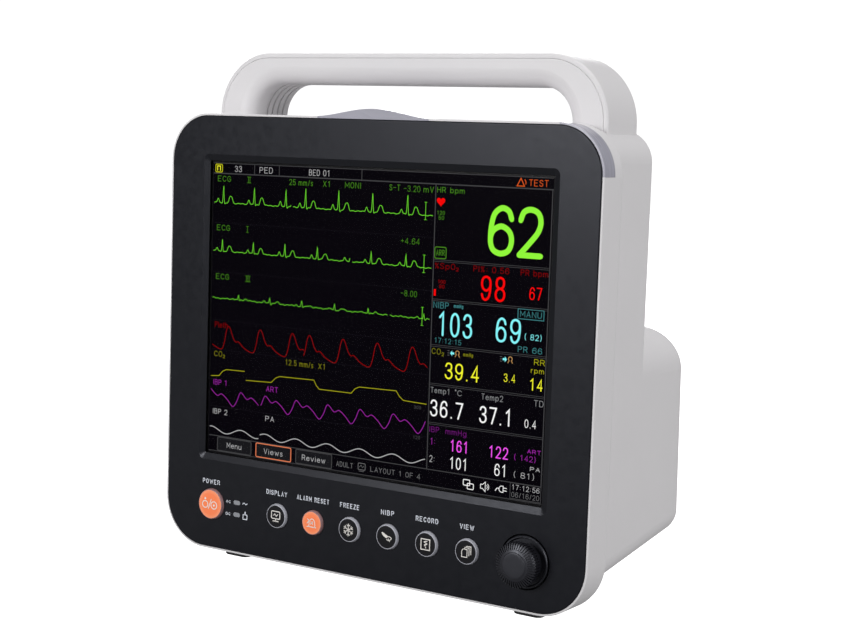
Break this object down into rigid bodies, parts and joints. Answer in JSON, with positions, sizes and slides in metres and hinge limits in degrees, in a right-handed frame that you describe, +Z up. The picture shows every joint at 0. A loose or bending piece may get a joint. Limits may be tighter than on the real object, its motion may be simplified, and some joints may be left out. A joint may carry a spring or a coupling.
{
  "type": "patient monitor",
  "caption": "Bedside patient monitor with a flat display, front keys, a turn-and-push knob, a fixed top handle and a deeper lower rear casing with sensor and power sockets.",
  "frame": {"origin": "on the resting surface, under the middle of the monitor's bounding box", "axes": "+X to the viewer's right, +Y from the display towards the rear, +Z up"},
  "size_m": [0.311, 0.1494, 0.3241],
  "materials": {
    "white_plastic": "fine-grained moulded, satin",
    "black_plastic": "fine-grained moulded, satin",
    "lens_plastic": "translucent, smooth",
    "window_glass": "clear, anti-glare",
    "display_glass": "satin polariser film",
    "grey_key": "translucent rim, dark face",
    "orange_key": "translucent rim, satin face",
    "dark_rubber": "matt",
    "grey_rubber": "matt",
    "steel_sheet": "zinc-plated sheet",
    "bright_steel": "turned",
    "nickel_brass": "nickel-plated",
    "circuit_board": "solder-mask green",
    "heat_aluminium": "extruded, anodised",
    "dark_grey_plastic": "fine-grained moulded",
    "socket_plastic": "moulded, smooth",
    "pump_metal": "drawn can",
    "battery_wrap": "shrink wrap",
    "thermal_paper": "wound paper",
    "clear_tube": "smooth silicone"
  },
  "bodies": {
    "housing": {"alarm_light_boards": "circuit_board", "battery_pack": "battery_wrap", "casing_screws": "bright_steel", "chassis_plate": "steel_sheet", "co2_socket": "socket_plastic", "connector_panel": "dark_grey_plastic", "corner_alarm_lens": "lens_plastic", "data_sockets": "bright_steel", "display_gasket": "dark_rubber", "dome_switches": "bright_steel", "ecg_socket": "socket_plastic", "encoder_body": "dark_grey_plastic", "encoder_nut": "nickel_brass", "feet": "dark_rubber", "front_bezel": "black_plastic", "front_housing": "white_plastic", "fuse_holders": "dark_grey_plastic", "ground_stud": "nickel_brass", "handle_body": "white_plastic", "handle_cover": "white_plastic", "key_board": "circuit_board", "keypad_mat": "grey_rubber", "lcd_bracket": "steel_sheet", "lcd_frame": "steel_sheet", "lcd_panel": "display_glass", "main_board": "circuit_board", "main_heatsink": "heat_aluminium", "mains_inlet": "dark_grey_plastic", "measurement_board": "circuit_board", "nibp_air_tube": "clear_tube", "nibp_port": "socket_plastic", "nibp_pump": "pump_metal", "nibp_valve_block": "dark_grey_plastic", "power_supply": "circuit_board", "pressure_sockets": "socket_plastic", "print_head": "dark_grey_plastic", "rear_housing": "white_plastic", "rear_io_plate": "steel_sheet", "recorder_chassis": "dark_grey_plastic", "screen_window": "window_glass", "speaker": "dark_grey_plastic", "spo2_socket": "socket_plastic", "status_light_pipes": "lens_plastic", "temperature_sockets": "socket_plastic", "top_alarm_lens": "lens_plastic"},
    "power_key": {"power_key": "orange_key"},
    "display_key": {"display_key": "grey_key"},
    "alarm_reset_key": {"alarm_reset_key": "orange_key"},
    "freeze_key": {"freeze_key": "grey_key"},
    "pressure_key": {"pressure_key": "grey_key"},
    "record_key": {"record_key": "grey_key"},
    "view_key": {"view_key": "grey_key"},
    "dial": {"encoder_rotor": "dark_grey_plastic"},
    "knob": {"control_knob": "black_plastic", "encoder_shaft": "bright_steel"},
    "recorder_door": {"recorder_door": "white_plastic"},
    "platen": {"platen_roller": "dark_rubber"},
    "paper": {"paper_roll": "thermal_paper"},
    "release_button": {"recorder_button": "dark_grey_plastic"},
    "battery_door": {"battery_door": "white_plastic"}
  },
  "joints": [
    {"name": "power_press", "type": "slide", "parent": "housing", "child": "power_key", "axis": [0, 1, 0], "range_m": [0, 0.001], "stiffness_N_per_m": 1500},
    {"name": "display_press", "type": "slide", "parent": "housing", "child": "display_key", "axis": [0, 1, 0], "range_m": [0, 0.001], "stiffness_N_per_m": 1500},
    {"name": "alarm_reset_press", "type": "slide", "parent": "housing", "child": "alarm_reset_key", "axis": [0, 1, 0], "range_m": [0, 0.001], "stiffness_N_per_m": 1500},
    {"name": "freeze_press", "type": "slide", "parent": "housing", "child": "freeze_key", "axis": [0, 1, 0], "range_m": [0, 0.001], "stiffness_N_per_m": 1500},
    {"name": "pressure_press", "type": "slide", "parent": "housing", "child": "pressure_key", "axis": [0, 1, 0], "range_m": [0, 0.001], "stiffness_N_per_m": 1500},
    {"name": "record_press", "type": "slide", "parent": "housing", "child": "record_key", "axis": [0, 1, 0], "range_m": [0, 0.001], "stiffness_N_per_m": 1500},
    {"name": "view_press", "type": "slide", "parent": "housing", "child": "view_key", "axis": [0, 1, 0], "range_m": [0, 0.001], "stiffness_N_per_m": 1500},
    {"name": "dial_turn", "type": "hinge", "parent": "housing", "child": "dial", "pos_m": [0.1153, -0.05068, 0.036], "axis": [0, 1, 0], "continuous": true},
    {"name": "knob_press", "type": "slide", "parent": "dial", "child": "knob", "axis": [0, 1, 0], "range_m": [0, 0.0007], "stiffness_N_per_m": 3000},
    {"name": "recorder_door_hinge", "type": "hinge", "parent": "housing", "child": "recorder_door", "pos_m": [-0.1486, 0.02712, 0.0574], "axis": [0, -1, 0], "range_deg": [0, 90]},
    {"name": "platen_spin", "type": "hinge", "parent": "recorder_door", "child": "platen", "pos_m": [-0.1405, 0.02712, 0.1196], "axis": [0, 1, 0], "continuous": true},
    {"name": "paper_spin", "type": "hinge", "parent": "housing", "child": "paper", "pos_m": [-0.1215, 0.02712, 0.0806], "axis": [0, 1, 0], "continuous": true},
    {"name": "release_press", "type": "slide", "parent": "recorder_door", "child": "release_button", "axis": [1, 0, 0], "range_m": [0, 0.0012], "stiffness_N_per_m": 1200},
    {"name": "battery_door_hinge", "type": "hinge", "parent": "housing", "child": "battery_door", "pos_m": [0, 0.05462, 0.0124], "axis": [-1, 0, 0], "range_deg": [0, 90]}
  ]
}
